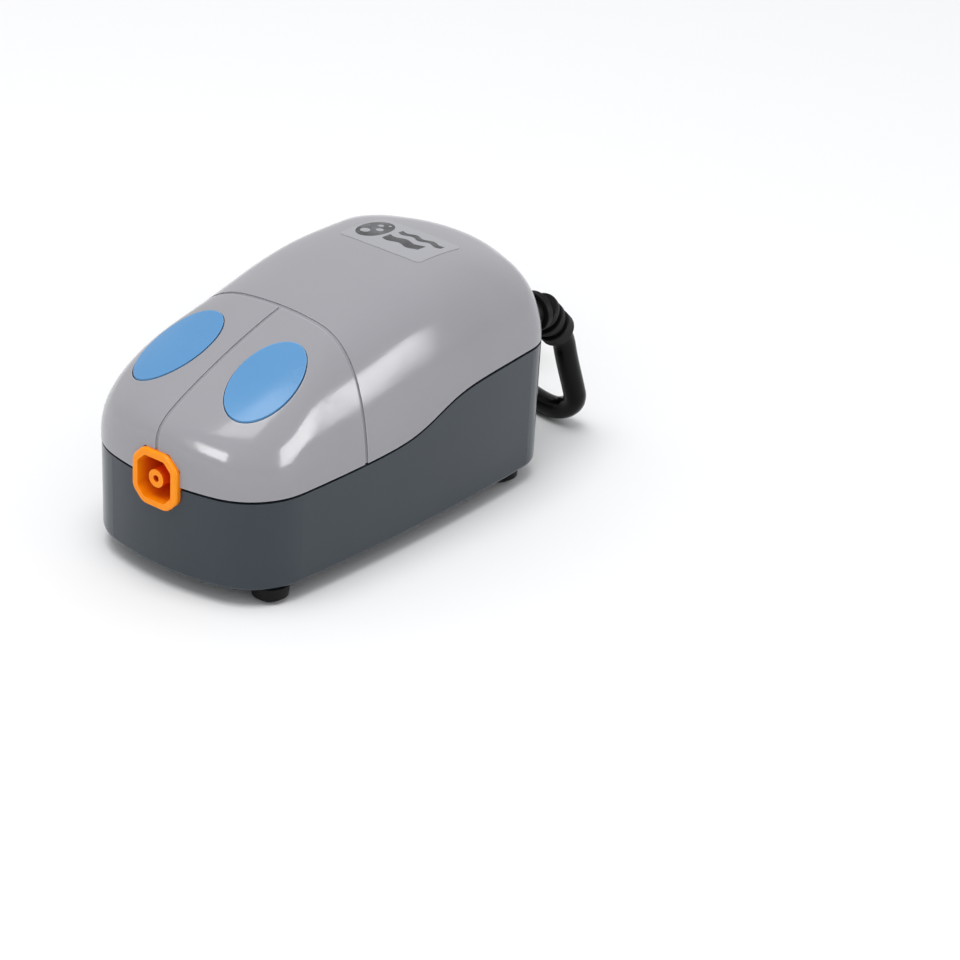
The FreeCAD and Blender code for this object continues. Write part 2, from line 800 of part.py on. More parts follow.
def fixings():
    """Turned fixings, drawn once each and repeated at their places."""
    feet = []
    for i, (x, y) in enumerate(four_feet()):
        stem_top = "base_bottom + floor_thick"
        foot = turned_body(
            "foot_%d" % i,
            [
                ("0", "0"),
                ("foot_radius * 0.55", "0"),
                ("foot_radius * 0.92", "base_bottom * 0.3"),
                ("foot_radius", "base_bottom"),
                ("foot_stem", "base_bottom"),
                ("foot_stem", stem_top),
                ("foot_stem + 0.7", stem_top),
                ("foot_stem * 0.8", stem_top + " + 1.3"),
                ("0", stem_top + " + 1.3"),
            ],
        )
        foot.setExpression("Placement.Base.x", expr("foot_x * %d" % (1 if x > 0 else -1)))
        foot.setExpression("Placement.Base.y", expr("foot_y * %d" % (1 if y > 0 else -1)))
        feet.append(foot)
    node(fuse("feet", *feet), "rubber_feet")

    screws = []
    for i, (x, y) in enumerate(four_posts()):
        side = "post_x * %d" % (1 if x > 0 else -1)
        row = "post_rear" if y > 0 else "-post_front"
        head = rod("case_head_%d" % i, "screw_head", "2", side, row, "screw_seat - 2")
        shank = rod("case_shank_%d" % i, "screw_radius", "18", side, row, "screw_seat")
        slot = box("case_slot_%d" % i, "screw_head * 2 - 1", "0.8", "0.8", side, row, "screw_seat - 2")
        cross = box("case_cross_%d" % i, "0.8", "screw_head * 2 - 1", "0.8", side, row, "screw_seat - 2")
        screws.append(cut("case_screw_%d" % i, fuse("case_blank_%d" % i, head, shank), slot, cross))
    node(fuse("case_screw_set", *screws), "case_screws")

    cover = rod("intake_disc", "filter_cover", "filter_cover_thick", 0, "filter_y", "base_bottom")
    slots = [
        box("intake_slot_%d" % i, "filter_cover * 1.2", "1", "4", 0, "filter_y + %d" % offset, "2")
        for i, offset in enumerate((-4, -2, 0, 2, 4))
    ]
    node(cut("intake_grille", cover, *slots), "filter_cover")
    felt_z = "base_bottom + filter_cover_thick"
    felt = rod("intake_felt", "filter_felt", "filter_felt_thick", 0, "filter_y", felt_z)
    node(felt, "filter_felt")


fixings()


# ---------------------------------------------------------------- armature

def armature():
    """A sprung arm on a cross pin; its magnets face the coil and its middle works the diaphragm."""
    floor = "base_bottom + floor_thick"
    half = "bracket_half"
    inner = "bracket_half - bracket_sheet"
    top = "pivot_z + 4"
    bracket = padded_body(
        "pivot_bracket_body",
        "XZ_Plane",
        [
            ("-" + half, floor),
            (half, floor),
            (half, top),
            (inner, top),
            (inner, floor + " + 2"),
            ("-(%s)" % inner, floor + " + 2"),
            ("-(%s)" % inner, top),
            ("-" + half, top),
        ],
        "bracket_long",
    )
    bracket.setExpression("Placement.Base.y", expr("pivot_y"))
    bore = rod("bushing_bore", "bushing_radius", "40", "-20", "pivot_y", "pivot_z", "x")
    screw_bores = [
        rod("bracket_bore_%d" % i, "small_screw", "10", "8 * %d" % side, "pivot_y", "2")
        for i, side in enumerate((-1, 1))
    ]
    node(cut("pivot_bracket_bored", bracket, bore, *screw_bores), "pivot_bracket")

    bushings = []
    for i, side in enumerate((-1, 1)):
        start = "bracket_half * %d - bracket_sheet * %s" % (side, "0" if side < 0 else "1")
        sleeve = rod("sleeve_%d" % i, "bushing_radius", "bracket_sheet", start, "pivot_y", "pivot_z", "x")
        hole = rod("sleeve_bore_%d" % i, "pivot_pin", "40", "-20", "pivot_y", "pivot_z", "x")
        bushings.append(cut("bushing_%d" % i, sleeve, hole))
    node(fuse("bushing_pair", *bushings), "pivot_bushings")
    pin = rod("pin", "pivot_pin", "bracket_half * 2 + 1", "-bracket_half - 0.5", "pivot_y", "pivot_z", "x")
    node(pin, "pivot_pin")

    arm_low = "pivot_z - arm_thick / 2"
    arm_high = "pivot_z + arm_thick / 2"
    plate = "arm_end + arm_thick"
    low_end = "magnet_z - arm_plate_half"
    high_end = "magnet_z + arm_plate_half"
    arm = padded_body(
        "arm_body",
        "YZ_Plane",
        [
            ("pivot_y", arm_low),
            ("arm_end", arm_low),
            ("arm_end", low_end),
            (plate, low_end),
            (plate, high_end),
            ("arm_end", high_end),
            ("arm_end", arm_high),
            ("pivot_y", arm_high),
        ],
        "arm_half * 2",
    )
    eye = rod("arm_eye", "3", "arm_half * 2 + 8", "-arm_half - 4", "pivot_y", "pivot_z", "x")
    eye_bore = rod("arm_eye_bore", "pivot_pin + pivot_play", "40", "-20", "pivot_y", "pivot_z", "x")
    screw_bore = rod("arm_screw_bore", "screw_radius", "10", 0, "chamber_y", "pivot_z - 5")
    node(cut("arm_bored", fuse("arm_blank", arm, eye), eye_bore, screw_bore), "vibrating_arm")

    magnets = [
        box(
            "magnet_%d" % i,
            "magnet_long",
            "magnet_deep",
            "magnet_high",
            0,
            "arm_end + arm_thick + magnet_deep / 2",
            "magnet_z + magnet_pitch / 2 * %d - magnet_high / 2" % side,
        )
        for i, side in enumerate((-1, 1))
    ]
    node(fuse("magnet_pair", *magnets), "arm_magnets")


armature()


# ---------------------------------------------------------------- electromagnet

def electromagnet():
    """A laminated E core on a cradle, with the wound bobbin on its middle leg."""
    back = "core_front + core_long"
    yoke = "core_front + core_long - core_leg"
    mid = "core_leg / 2"
    slot = "core_leg / 2 + core_slot"
    tall = "core_leg * 1.5 + core_slot"
    corners = [("core_front", tall), ("core_front", slot), (yoke, slot), (yoke, mid)]
    corners += [("core_front", mid)]
    mirrored = [(y, "-(%s)" % z) for y, z in reversed(corners)]
    outline = corners + mirrored + [(back, "-(%s)" % tall), (back, tall)]
    core = padded_body("core_body", "YZ_Plane", outline, "core_half * 2")
    core.setExpression("Placement.Base.z", expr("magnet_z"))
    node(core, "laminated_core")

    wide = "bobbin_half_wide * 2"
    high = "bobbin_half_high * 2"
    low = "magnet_z - bobbin_half_high"
    ends = [
        box("bobbin_end_%d" % i, wide, "flange_thick", high, 0, at, low)
        for i, at in enumerate(
            ("bobbin_front + flange_thick / 2", "bobbin_front + bobbin_long - flange_thick / 2")
        )
    ]
    middle_y = "bobbin_front + bobbin_long / 2"
    neck_wide = "core_half * 2 + bobbin_play + bobbin_wall * 2"
    neck_high = "core_leg + bobbin_play + bobbin_wall * 2"
    neck_low = "magnet_z - (%s) / 2" % neck_high
    neck = box("bobbin_neck", neck_wide, "bobbin_long - 1", neck_high, 0, middle_y, neck_low)
    leg_wide = "core_half * 2 + bobbin_play"
    leg_high = "core_leg + bobbin_play"
    leg = box("bobbin_hole", leg_wide, "60", leg_high, 0, middle_y, "magnet_z - (%s) / 2" % leg_high)
    node(cut("bobbin_cut", fuse("bobbin_blank", neck, *ends), leg), "coil_bobbin")

    coil_wide = "(bobbin_half_wide - coil_inset) * 2"
    coil_high = "(bobbin_half_high - coil_inset) * 2"
    coil_long = "bobbin_long - flange_thick * 2"
    blank = box("coil_blank", coil_wide, coil_long, coil_high, 0, middle_y, "magnet_z - (%s) / 2" % coil_high)
    core_gap = box("coil_hole", neck_wide, "60", neck_high, 0, middle_y, neck_low)
    node(cut("coil_cut", blank, core_gap), "coil_winding")

    floor = "base_bottom + floor_thick"
    core_low = "magnet_z - core_leg * 1.5 - core_slot"
    step = "(%s) - (%s)" % (core_low, floor)
    bed = box("cradle_bed", "cradle_half * 2", "18", step, 0, "24", floor)
    ears = box("cradle_ears", "cradle_ear * 2", "7", "2", 0, "20", floor)
    cheeks = [
        box("cradle_cheek_%d" % i, "1.8", "18", "%s + 5" % step, "(core_half + 0.9) * %d" % side, "24", floor)
        for i, side in enumerate((-1, 1))
    ]
    holes = [
        rod("cradle_hole_%d" % i, "small_screw", "10", "17 * %d" % side, "20", "2")
        for i, side in enumerate((-1, 1))
    ]
    cradle = cut("cradle_cut", fuse("cradle_blank", bed, ears, *cheeks), *holes)
    node(cradle, "core_cradle")

    screws = []
    spots = [("8 * %d" % side, "pivot_y") for side in (-1, 1)]
    spots += [("17 * %d" % side, "20") for side in (-1, 1)]
    for i, (x, y) in enumerate(spots):
        head = rod("bracket_head_%d" % i, "small_head", "1.4", x, y, floor + " + 2")
        shank = rod("bracket_shank_%d" % i, "small_screw", "2", x, y, floor)
        screws.append(fuse("bracket_screw_%d" % i, head, shank))
    node(fuse("bracket_screw_set", *screws), "bracket_screws")


electromagnet()


# ---------------------------------------------------------------- pump chamber

def pump_chamber():
    """The valve block with its lid, gasket, flaps, diaphragm and clamp."""
    wide = "chamber_half_wide * 2"
    long = "chamber_half_long * 2"
    gasket_z = "chamber_lid_z + chamber_lid"
    block_z = gasket_z + " + gasket_thick"
    top_z = block_z + " + chamber_high"
    y = "chamber_y"

    def screw_holes(name):
        return [
            rod(
                "%s_screw_%d" % (name, i),
                "small_screw",
                "40",
                "chamber_screw_x * %d" % (1 if x > 0 else -1),
                "chamber_y + chamber_screw_y * %d" % (1 if at > size("chamber_y") else -1),
                "0",
            )
            for i, (x, at) in enumerate(chamber_corners())
        ]

    lid = box("lid_block", wide, long, "chamber_lid", 0, y, "chamber_lid_z")
    inlet = rod("lid_inlet", "port_hole", "20", "-port_x", y, "0")
    node(cut("lid_cut", lid, inlet, *screw_holes("lid")), "chamber_lid")

    gasket = box("gasket_sheet", wide, long, "gasket_thick", 0, y, gasket_z)
    ports = [
        rod("gasket_port_%d" % i, "port_pocket", "20", "port_x * %d" % side, y, "0")
        for i, side in enumerate((-1, 1))
    ]
    node(cut("gasket_cut", gasket, *ports, *screw_holes("gasket")), "chamber_gasket")

    block = box("chamber_block", wide, long, "chamber_high", 0, y, block_z)
    port_z = block_z + " + 2.5"
    front = "chamber_y - chamber_half_long"
    barb = rod("chamber_barb", "hose_bore", "6", "port_x", front + " - 5", port_z, "y")
    pockets = [
        rod("pocket_%d" % i, "port_pocket", "port_pocket_deep", "port_x * %d" % side, y, block_z)
        for i, side in enumerate((-1, 1))
    ]
    bores = [
        rod("bore_%d" % i, "port_hole", "chamber_high", "port_x * %d" % side, y, block_z)
        for i, side in enumerate((-1, 1))
    ]
    cavity = rod("cavity", "cavity_radius", "cavity_deep", 0, y, top_z + " - cavity_deep")
    outlet = rod("outlet_bore", "1.2", "20", "port_x", front + " - 6", port_z, "y")
    body = fuse("chamber_blank", block, barb)
    tools = pockets + bores + [cavity, outlet] + screw_holes("chamber")
    node(cut("chamber_cut", body, *tools), "pump_chamber")

    flap_gap = "0.1"
    lower = rod("flap_in", "flap_radius", "flap_thick", "-port_x", y, gasket_z + " + " + flap_gap)
    node(lower, "inlet_flap")
    upper_z = block_z + " + port_pocket_deep - flap_thick - " + flap_gap
    upper = rod("flap_out", "flap_radius", "flap_thick", "port_x", y, upper_z)
    node(upper, "outlet_flap")

    high = "diaphragm_high"
    skin = "diaphragm_skin"
    diaphragm = turned_body(
        "diaphragm_body",
        [
            ("0", high),
            ("diaphragm_top", high),
            ("diaphragm_rim - 1.6", skin),
            ("diaphragm_rim", skin),
            ("diaphragm_rim", "0"),
            ("diaphragm_rim - 2.6", "0"),
            ("diaphragm_top - 0.9", "%s - %s" % (high, skin)),
            ("0", "%s - %s" % (high, skin)),
        ],
    )
    diaphragm.setExpression("Placement.Base.y", expr(y))
    diaphragm.setExpression("Placement.Base.z", expr(top_z))
    node(diaphragm, "diaphragm")

    clamp_z = top_z + " + diaphragm_skin"
    clamp = box("clamp_plate", wide, long, "clamp_thick", 0, y, clamp_z)
    opening = rod("clamp_opening", "diaphragm_rim - 1.3", "10", 0, y, clamp_z + " - 1")
    node(cut("clamp_cut", clamp, opening, *screw_holes("clamp")), "diaphragm_clamp")

    screws = []
    for i, (x, at) in enumerate(chamber_corners()):
        column = "chamber_screw_x * %d" % (1 if x > 0 else -1)
        row = "chamber_y + chamber_screw_y * %d" % (1 if at > size("chamber_y") else -1)
        shank_z = "base_bottom + 2"
        head = rod("chamber_head_%d" % i, "small_head", "1.4", column, row, clamp_z + " + clamp_thick")
        shank_high = "%s + clamp_thick - (%s)" % (clamp_z, shank_z)
        shank = rod("chamber_shank_%d" % i, "small_screw", shank_high, column, row, shank_z)
        screws.append(fuse("chamber_screw_%d" % i, head, shank))
    node(fuse("chamber_screw_set", *screws), "chamber_screws")

    disc_z = "%s + %s" % (top_z, high)
    disc_thick = "pivot_z - arm_thick / 2 - (%s)" % disc_z
    disc = rod("disc_blank", "disc_radius", disc_thick, 0, y, disc_z)
    disc_bore = rod("disc_bore", "screw_radius", "10", 0, y, disc_z + " - 1")
    node(cut("disc_cut", disc, disc_bore), "diaphragm_disc")
    arm_top = "pivot_z + arm_thick / 2"
    head = rod("disc_head", "screw_head", "1.5", 0, y, arm_top)
    shank = rod("disc_shank", "screw_radius", "%s - (%s)" % (arm_top, disc_z), 0, y, disc_z)
    node(fuse("disc_screw", head, shank), "diaphragm_screw")


pump_chamber()


# ---------------------------------------------------------------- strain relief and cord

def relief_line():
    """Start, bend and end of the strain relief, which droops at forty-five degrees."""
    x = size("relief_x")
    z = size("relief_z")
    bend = size("relief_bend")
    root = Vector(x, size("relief_bend_y"), z)
    lean = math.sqrt(0.5)
    knee = root + Vector(0, bend * lean, -bend * (1 - lean))
    way = Vector(0, lean, -lean)
    return root, knee, knee + way * size("relief_tail"), way


def strain_relief():
    """A ribbed rubber boot: inner flange, neck through the wall, and ribs that end in a collar."""
    root, knee, end, way = relief_line()
    axis = Vector(0, 1, 0)
    core = size("relief_core")
    start = Vector(root.x, size("relief_inner_y"), root.z)
    neck = Part.makeCylinder(core, (root - start).Length, start, axis)
    flange = Part.makeCylinder(size("relief_flange"), 2.0, start, axis)
    middle = root + Vector(0, size("relief_bend") * math.sin(math.pi / 8), 0)
    middle.z -= size("relief_bend") * (1 - math.cos(math.pi / 8))
    arc = Part.Wire([Part.Arc(root, middle, knee).toShape()])
    ring = Part.Wire([Part.Circle(root, axis, core).toShape()])
    elbow = arc.makePipeShell([ring], True, False)
    tail = Part.makeCylinder(core, size("relief_tail"), knee, way)
    pieces = [flange, elbow, tail]
    last = size("relief_tail") - 3.3
    ribs = [(root, axis, 1.8), (knee - way * 1.5, way, 1.6), (knee + way * 2.0, way, 1.8)]
    ribs.append((knee + way * last, way, 3.3))
    for k, (foot, lean_way, thick) in enumerate(ribs):
        radius = size("relief_rib") - size("relief_taper") * k
        rib = Part.makeCylinder(radius, thick, foot, lean_way)
        rims = [e for e in rib.Edges if isinstance(e.Curve, Part.Circle)]
        pieces.append(rib.makeFillet(size("relief_round"), rims))
    return neck.fuse(pieces).removeSplitter()


def hank_point(radius, turn, z):
    turn = math.radians(turn)
    x = size("hank_x") + radius * math.cos(turn)
    return Vector(x, size("hank_y") + radius * math.sin(turn), z)


def cord_routes():
    """The loose cord from the strain relief to the coil, and from the coil up to the plug."""
    _, _, end, way = relief_line()
    low = size("cord_radius") + size("cord_clear")
    x = size("relief_x")
    first = [
        end,
        end + way * 3.1,
        Vector(x, 67.4, 21.4),
        Vector(x, 70.6, 13.0),
        Vector(x, 72.3, 8.2),
        Vector(x - 3.1, 73.3, 4.7),
        Vector(x - 7.5, 73.6, low),
        Vector(x - 15.6, 75.0, low),
        Vector(x - 24.6, 79.4, low),
        Vector(x - 31.8, 85.6, low),
        Vector(x - 35.5, 91.0, low),
    ]
    upper = low + size("hank_pitch")
    outer = size("hank_mean") + size("hank_pitch")
    turn = math.radians(size("plug_turn"))
    rear = Vector(size("plug_x"), size("plug_y"), plug_middle())
    last = [
        hank_point(outer, 200, upper),
        Vector(-76.6, 68.8, upper + 1.6),
        Vector(-70.4, 63.2, upper + 6.2),
        rear - Vector(math.cos(turn), math.sin(turn), 0) * 5.6,
        rear,
    ]
    return first, last


def plug_middle():
    hank_top = 2 * size("hank_pitch") + size("cord_clear")
    return hank_top + size("plug_thick") / 2 + 0.1


def hank():
    """The outer shape of six turns of cord, three wide and two high."""
    half = 1.5 * size("hank_pitch")
    high = 2 * size("hank_pitch")
    inner = size("hank_mean") - half
    outer = size("hank_mean") + half
    foot = Vector(size("hank_x"), size("hank_y"), size("cord_clear"))
    ring = Part.makeCylinder(outer, high, foot).cut(Part.makeCylinder(inner, high, foot))
    rims = [e for e in ring.Edges if isinstance(e.Curve, Part.Circle)]
    return ring.makeFillet(size("cord_radius") * 0.9, rims)


def lead_wires():
    """Two thin leads from the bobbin to the inner end of the strain relief."""
    wires = []
    for side in (-1, 1):
        x = size("relief_x") + 1.1 * side
        z = size("relief_z")
        route = [
            Vector(9.5 + side, size("bobbin_front") + size("bobbin_long"), z - 3.5),
            Vector(9.5 + side, 35, z - 3.5),
            Vector(13 + side, 39.5, z - 1),
            Vector(x, 42.4, z),
            Vector(x, size("relief_inner_y"), z),
        ]
        bar, _ = tube(route, size("lead_radius"))
        wires.append(bar)
    return Part.makeCompound(wires)


node(feature("relief_part", strain_relief()), "strain_relief")
node(feature("lead_part", lead_wires()), "lead_wires")
for label, route in zip(("power_cord", "power_cord_tail"), cord_routes()):
    radii = []
    bar, length = tube(route, size("cord_radius"), radii)
    section = math.pi * size("cord_radius") ** 2
    print(label, "length", round(length, 1), "volume ratio", round(bar.Volume / section / length, 4))
    print(label, "bend radii", radii)
    node(feature(label + "_part", bar), label)
node(feature("hank_part", hank()), "power_cord_coil")


def plug():
    """A flat two-pin plug, drawn along +X from the cord's end, then turned and set down."""
    half = "plug_half_wide"
    body = padded_body(
        "plug_block",
        "XY_Plane",
        [
            ("0", "-plug_neck"),
            ("plug_long * 0.45", "-" + half),
            ("plug_long", "-%s * 0.94" % half),
            ("plug_long", "%s * 0.94" % half),
            ("plug_long * 0.45", half),
            ("0", "plug_neck"),
        ],
        "plug_thick",
    )
    pad = body.Tip
    fillet = body.newObject("PartDesign::Fillet", "plug_rounds")
    fillet.Base = (pad, ["Edge%d" % (i + 1) for i in range(len(pad.Shape.Edges))])
    bind(fillet, Radius="plug_round")
    doc.recompute()
    pins = []
    sleeves = []
    for i, side in enumerate((-1, 1)):
        y = "pin_pitch / 2 * %d" % side
        tip = "plug_long + pin_long"
        start = "plug_long + pin_sleeve"
        bare = "pin_long - pin_sleeve - pin_radius"
        pins.append(rod("pin_rod_%d" % i, "pin_radius", bare, start, y, 0, "x"))
        ball = doc.addObject("Part::Sphere", "pin_tip_%d" % i)
        bind(ball, Radius="pin_radius")
        pins.append(place(ball, tip + " - pin_radius", y, 0))
        sleeves.append(rod("pin_sleeve_%d" % i, "pin_radius", "pin_sleeve", "plug_long", y, 0, "x"))
    node(body, "plug_body")
    node(fuse("plug_pin_pair", *pins), "plug_pins")
    node(fuse("plug_sleeve_pair", *sleeves), "plug_pin_sleeves")
    spot = Vector(size("plug_x"), size("plug_y"), plug_middle())
    for item in NODES[-3:]:
        item.Placement = Placement(spot, Rotation(Vector(0, 0, 1), size("plug_turn")))
        item.setExpression("Placement.Base.x", expr("plug_x"))
        item.setExpression("Placement.Base.y", expr("plug_y"))


plug()


# ---------------------------------------------------------------- check and write

doc.recompute()
for item in doc.Objects:
    if "Invalid" in item.State or "Error" in item.State:
        raise RuntimeError("%s failed: %s" % (item.Name, item.State))
for item in NODES:
    shape = item.Shape
    if shape.isNull() or not shape.isValid() or shape.Volume <= 0:
        raise RuntimeError("%s has no sound shape" % item.Label)

os.makedirs("parts", exist_ok=True)
for item in NODES:
    item.Shape.exportStep(os.path.join("parts", item.Label + ".step"))
    print(item.Label, len(item.Shape.Solids), round(item.Shape.Volume, 1))
print(len(NODES), "sub-parts written")
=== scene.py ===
"""Aquarium air pump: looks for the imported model, a pale studio, and the photograph's view."""

import math

import bpy
from mathutils import Matrix, Vector


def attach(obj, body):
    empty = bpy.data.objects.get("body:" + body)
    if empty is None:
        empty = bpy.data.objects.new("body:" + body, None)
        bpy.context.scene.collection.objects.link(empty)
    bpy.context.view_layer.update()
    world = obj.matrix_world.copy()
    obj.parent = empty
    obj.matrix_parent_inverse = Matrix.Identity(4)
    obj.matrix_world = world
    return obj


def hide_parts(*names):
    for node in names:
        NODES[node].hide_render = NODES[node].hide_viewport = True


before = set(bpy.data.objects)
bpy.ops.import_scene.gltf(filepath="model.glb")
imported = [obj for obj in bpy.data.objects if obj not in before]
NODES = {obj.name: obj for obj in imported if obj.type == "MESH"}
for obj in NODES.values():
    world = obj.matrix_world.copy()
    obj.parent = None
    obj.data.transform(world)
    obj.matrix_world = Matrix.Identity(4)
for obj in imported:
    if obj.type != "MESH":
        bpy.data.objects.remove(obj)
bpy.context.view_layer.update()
MM = 0.001


# ---------------------------------------------------------------- camera

# angles in degrees, place in metres, lens and sensor in millimetres
CAMERA_TURN = 38.2925
CAMERA_RISE = 27.1604
CAMERA_ROLL = 2.6259
CAMERA_PLACE = (0.520998, -0.599246, 0.415221)
CAMERA_LENS = 145.334
CAMERA_SENSOR = 36
CAMERA_NEAR = 0.05
CAMERA_FAR = 20


def camera():
    """The camera that lines the model up with the photographed pump."""
    turn = math.radians(CAMERA_TURN)
    rise = math.radians(CAMERA_RISE)
    roll = math.radians(CAMERA_ROLL)
    back = Vector((
        math.sin(turn) * math.cos(rise),
        -math.cos(turn) * math.cos(rise),
        math.sin(rise),
    ))
    right = Vector((math.cos(turn), math.sin(turn), 0))
    up = back.cross(right)
    across = right * math.cos(roll) + up * math.sin(roll)
    upward = up * math.cos(roll) - right * math.sin(roll)
    data = bpy.data.cameras.new("camera")
    data.lens = CAMERA_LENS
    data.sensor_width = CAMERA_SENSOR
    data.clip_start = CAMERA_NEAR
    data.clip_end = CAMERA_FAR
    view = bpy.data.objects.new("camera", data)
    turned = Matrix((across, upward, back)).transposed().to_4x4()
    view.matrix_world = Matrix.Translation(CAMERA_PLACE) @ turned
    bpy.context.scene.collection.objects.link(view)
    bpy.context.scene.camera = view


camera()


# ---------------------------------------------------------------- cord

# the coil that is put away behind the pump, in millimetres
COIL_X = -49.5
COIL_Y = 84
COIL_MEAN = 26
CORD_THICK = 5.5
FLOOR_LAYER = 2.85
TOP_LAYER = FLOOR_LAYER + CORD_THICK

# its turns, in degrees: where the line comes in and leaves, the step between points, and half the
# stretch over which the line moves to the next turn
FIRST_TURN = 36
LAST_TURN = 2001
TURN_STEP = 20
CHANGE_HALF = 50


def spline_curve(name, points, radius):
    """One smooth round line whose control points are the given ones, in millimetres.

    The points carry the radius, so that the curve's own box is as thick as the cord.
    """
    curve = bpy.data.curves.new(name, "CURVE")
    curve.dimensions = "3D"
    spline = curve.splines.new("NURBS")
    spline.points.add(len(points) - 1)
    for point, place in zip(spline.points, points):
        point.co = (*(MM * v for v in place), 1)
        point.radius = radius
    spline.order_u = 3
    spline.use_endpoint_u = True
    spline.resolution_u = 12
    curve.bevel_depth = 1.0
    curve.bevel_resolution = 8
    curve.use_fill_caps = True
    thing = bpy.data.objects.new(name, curve)
    bpy.context.scene.collection.objects.link(thing)
    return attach(thing, "root")


def change(turn, number):
    """How far the line has moved to the next turn: 0 before the change, 1 after it."""
    start = FIRST_TURN + 360 * number - CHANGE_HALF
    return min(1.0, max(0.0, (turn - start) / (2 * CHANGE_HALF)))


def coil_points():
    """Three turns inwards on the floor, then three outwards on top of them."""
    points = []
    for turn in range(FIRST_TURN, LAST_TURN, TURN_STEP):
        inward = change(turn, 1) + change(turn, 2)
        outward = change(turn, 4) + change(turn, 5)
        radius = COIL_MEAN + CORD_THICK * (1 - inward + outward)
        angle = math.radians(turn)
        points.append((
            COIL_X + radius * math.cos(angle),
            COIL_Y + radius * math.sin(angle),
            FLOOR_LAYER + CORD_THICK * change(turn, 3),
        ))
    return points


def cord_points():
    """Out of the strain relief, down to the floor, behind the pump, the coil, and up to the plug."""
    lead = [
        (19, 63.54, 29.53),
        (19, 65.73, 27.34),
        (19, 67.4, 21.4),
        (19, 70.6, 13.0),
        (19, 72.3, 8.2),
        (15.9, 73.3, 4.7),
        (11.5, 73.6, FLOOR_LAYER),
        (3.4, 75.0, FLOOR_LAYER),
        (-5.6, 79.4, FLOOR_LAYER),
        (-12.8, 85.6, FLOOR_LAYER),
        (-16.5, 91.0, FLOOR_LAYER),
    ]
    tail = [
        (-76.6, 68.8, TOP_LAYER + 1.6),
        (-70.4, 63.2, TOP_LAYER + 6.2),
        (-62.86, 61.88, 18.2),
        (-57.6, 63.8, 18.2),
    ]
    return lead + coil_points() + tail


cord = spline_curve("power_cord_line", cord_points(), CORD_THICK / 2 * MM)
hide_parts("power_cord", "power_cord_tail", "power_cord_coil")


# ---------------------------------------------------------------- materials

class Nodes:
    """A material's node tree, built a node at a time."""

    def __init__(self, name):
        self.material = bpy.data.materials.new(name)
        self.material.use_nodes = True
        self.tree = self.material.node_tree
        self.shader = self.tree.nodes["Principled BSDF"]

    def add(self, kind, **inputs):
        """A node. A lower-case keyword is a setting of its own, and a capitalised one is a socket."""
        node = self.tree.nodes.new(kind)
        for key, value in inputs.items():
            if key[0].islower():
                setattr(node, key, value)
            else:
                self.join(node, key.replace("_", " "), value)
        return node

    def join(self, node, socket, value):
        """Links a socket to another node's output, or sets its value."""
        if isinstance(value, bpy.types.NodeSocket):
            self.tree.links.new(value, node.inputs[socket])
        else:
            node.inputs[socket].default_value = value

    def set(self, **inputs):
        """Fills sockets of the material's own shader."""
        for key, value in inputs.items():
            self.join(self.shader, key.replace("_", " "), value)

    def noise(self, scale, detail=4.0, rough=0.55):
        place = self.add("ShaderNodeTexCoord").outputs["Object"]
        node = self.add("ShaderNodeTexNoise", Vector=place, Scale=scale, Detail=detail, Roughness=rough)
        return node.outputs["Fac"]

    def spread(self, value, low, high, start=0.3, end=0.7):
        """The value from start to end, stretched to run from low to high."""
        node = self.add(
            "ShaderNodeMapRange", Value=value, From_Min=start, From_Max=end, To_Min=low, To_Max=high
        )
        return node.outputs["Result"]

    def blend(self, value, one, two):
        """A mix of two colours. The Mix node's colour sockets share names, so they go by number."""
        node = self.add("ShaderNodeMix", data_type="RGBA", Factor=value)
        for socket, colour in ((6, one), (7, two)):
            whole = colour if isinstance(colour, bpy.types.NodeSocket) else (*colour, 1)
            self.join(node, socket, whole)
        return node.outputs[2]

    def maths(self, operation, one, two=0.0):
        node = self.add("ShaderNodeMath", operation=operation)
        self.join(node, 0, one)
        self.join(node, 1, two)
        return node.outputs[0]

    def along(self, axis):
        """The place of a point along one axis, in millimetres."""
        place = self.add("ShaderNodeTexCoord").outputs["Object"]
        parts = self.add("ShaderNodeSeparateXYZ", Vector=place)
        return self.maths("MULTIPLY", parts.outputs[axis], 1 / MM)

    def bands(self, axis, pitch):
        """A row of ridges along an axis, one each pitch millimetres."""
        swing = self.maths("SINE", self.maths("MULTIPLY", self.along(axis), 2 * math.pi / pitch))
        return self.maths("MULTIPLY", self.maths("ADD", swing, 1.0), 0.5)

    def bump(self, height, strength, depth):
        node = self.add("ShaderNodeBump", Height=height, Strength=strength, Distance=depth)
        return node.outputs["Normal"]

    def edge_highlight_mask(self, width=0.0006):
        """How far a point lies on a convex edge, from the bevelled normal: the mask of the painted edge
        highlight.
        """
        bevel = self.add("ShaderNodeBevel", samples=4, Radius=width)
        shape = self.add("ShaderNodeNewGeometry")
        dot = self.add("ShaderNodeVectorMath", operation="DOT_PRODUCT")
        self.join(dot, 0, bevel.outputs["Normal"])
        self.join(dot, 1, shape.outputs["Normal"])
        return self.spread(dot.outputs["Value"], 1.0, 0.0, 0.75, 0.99)


def grey(value):
    return (value, value, value)


# noise scales per metre of moulded plastic, then the depth of its grain and the reach of the painted
# shade in a hollow
DRIFT_SCALE = 28
EDGE_HIGHLIGHT_SCALE = 60
GLOSS_SCALE = 90
GRAIN_DEPTH = 0.00012
HOLLOW_REACH = 0.006


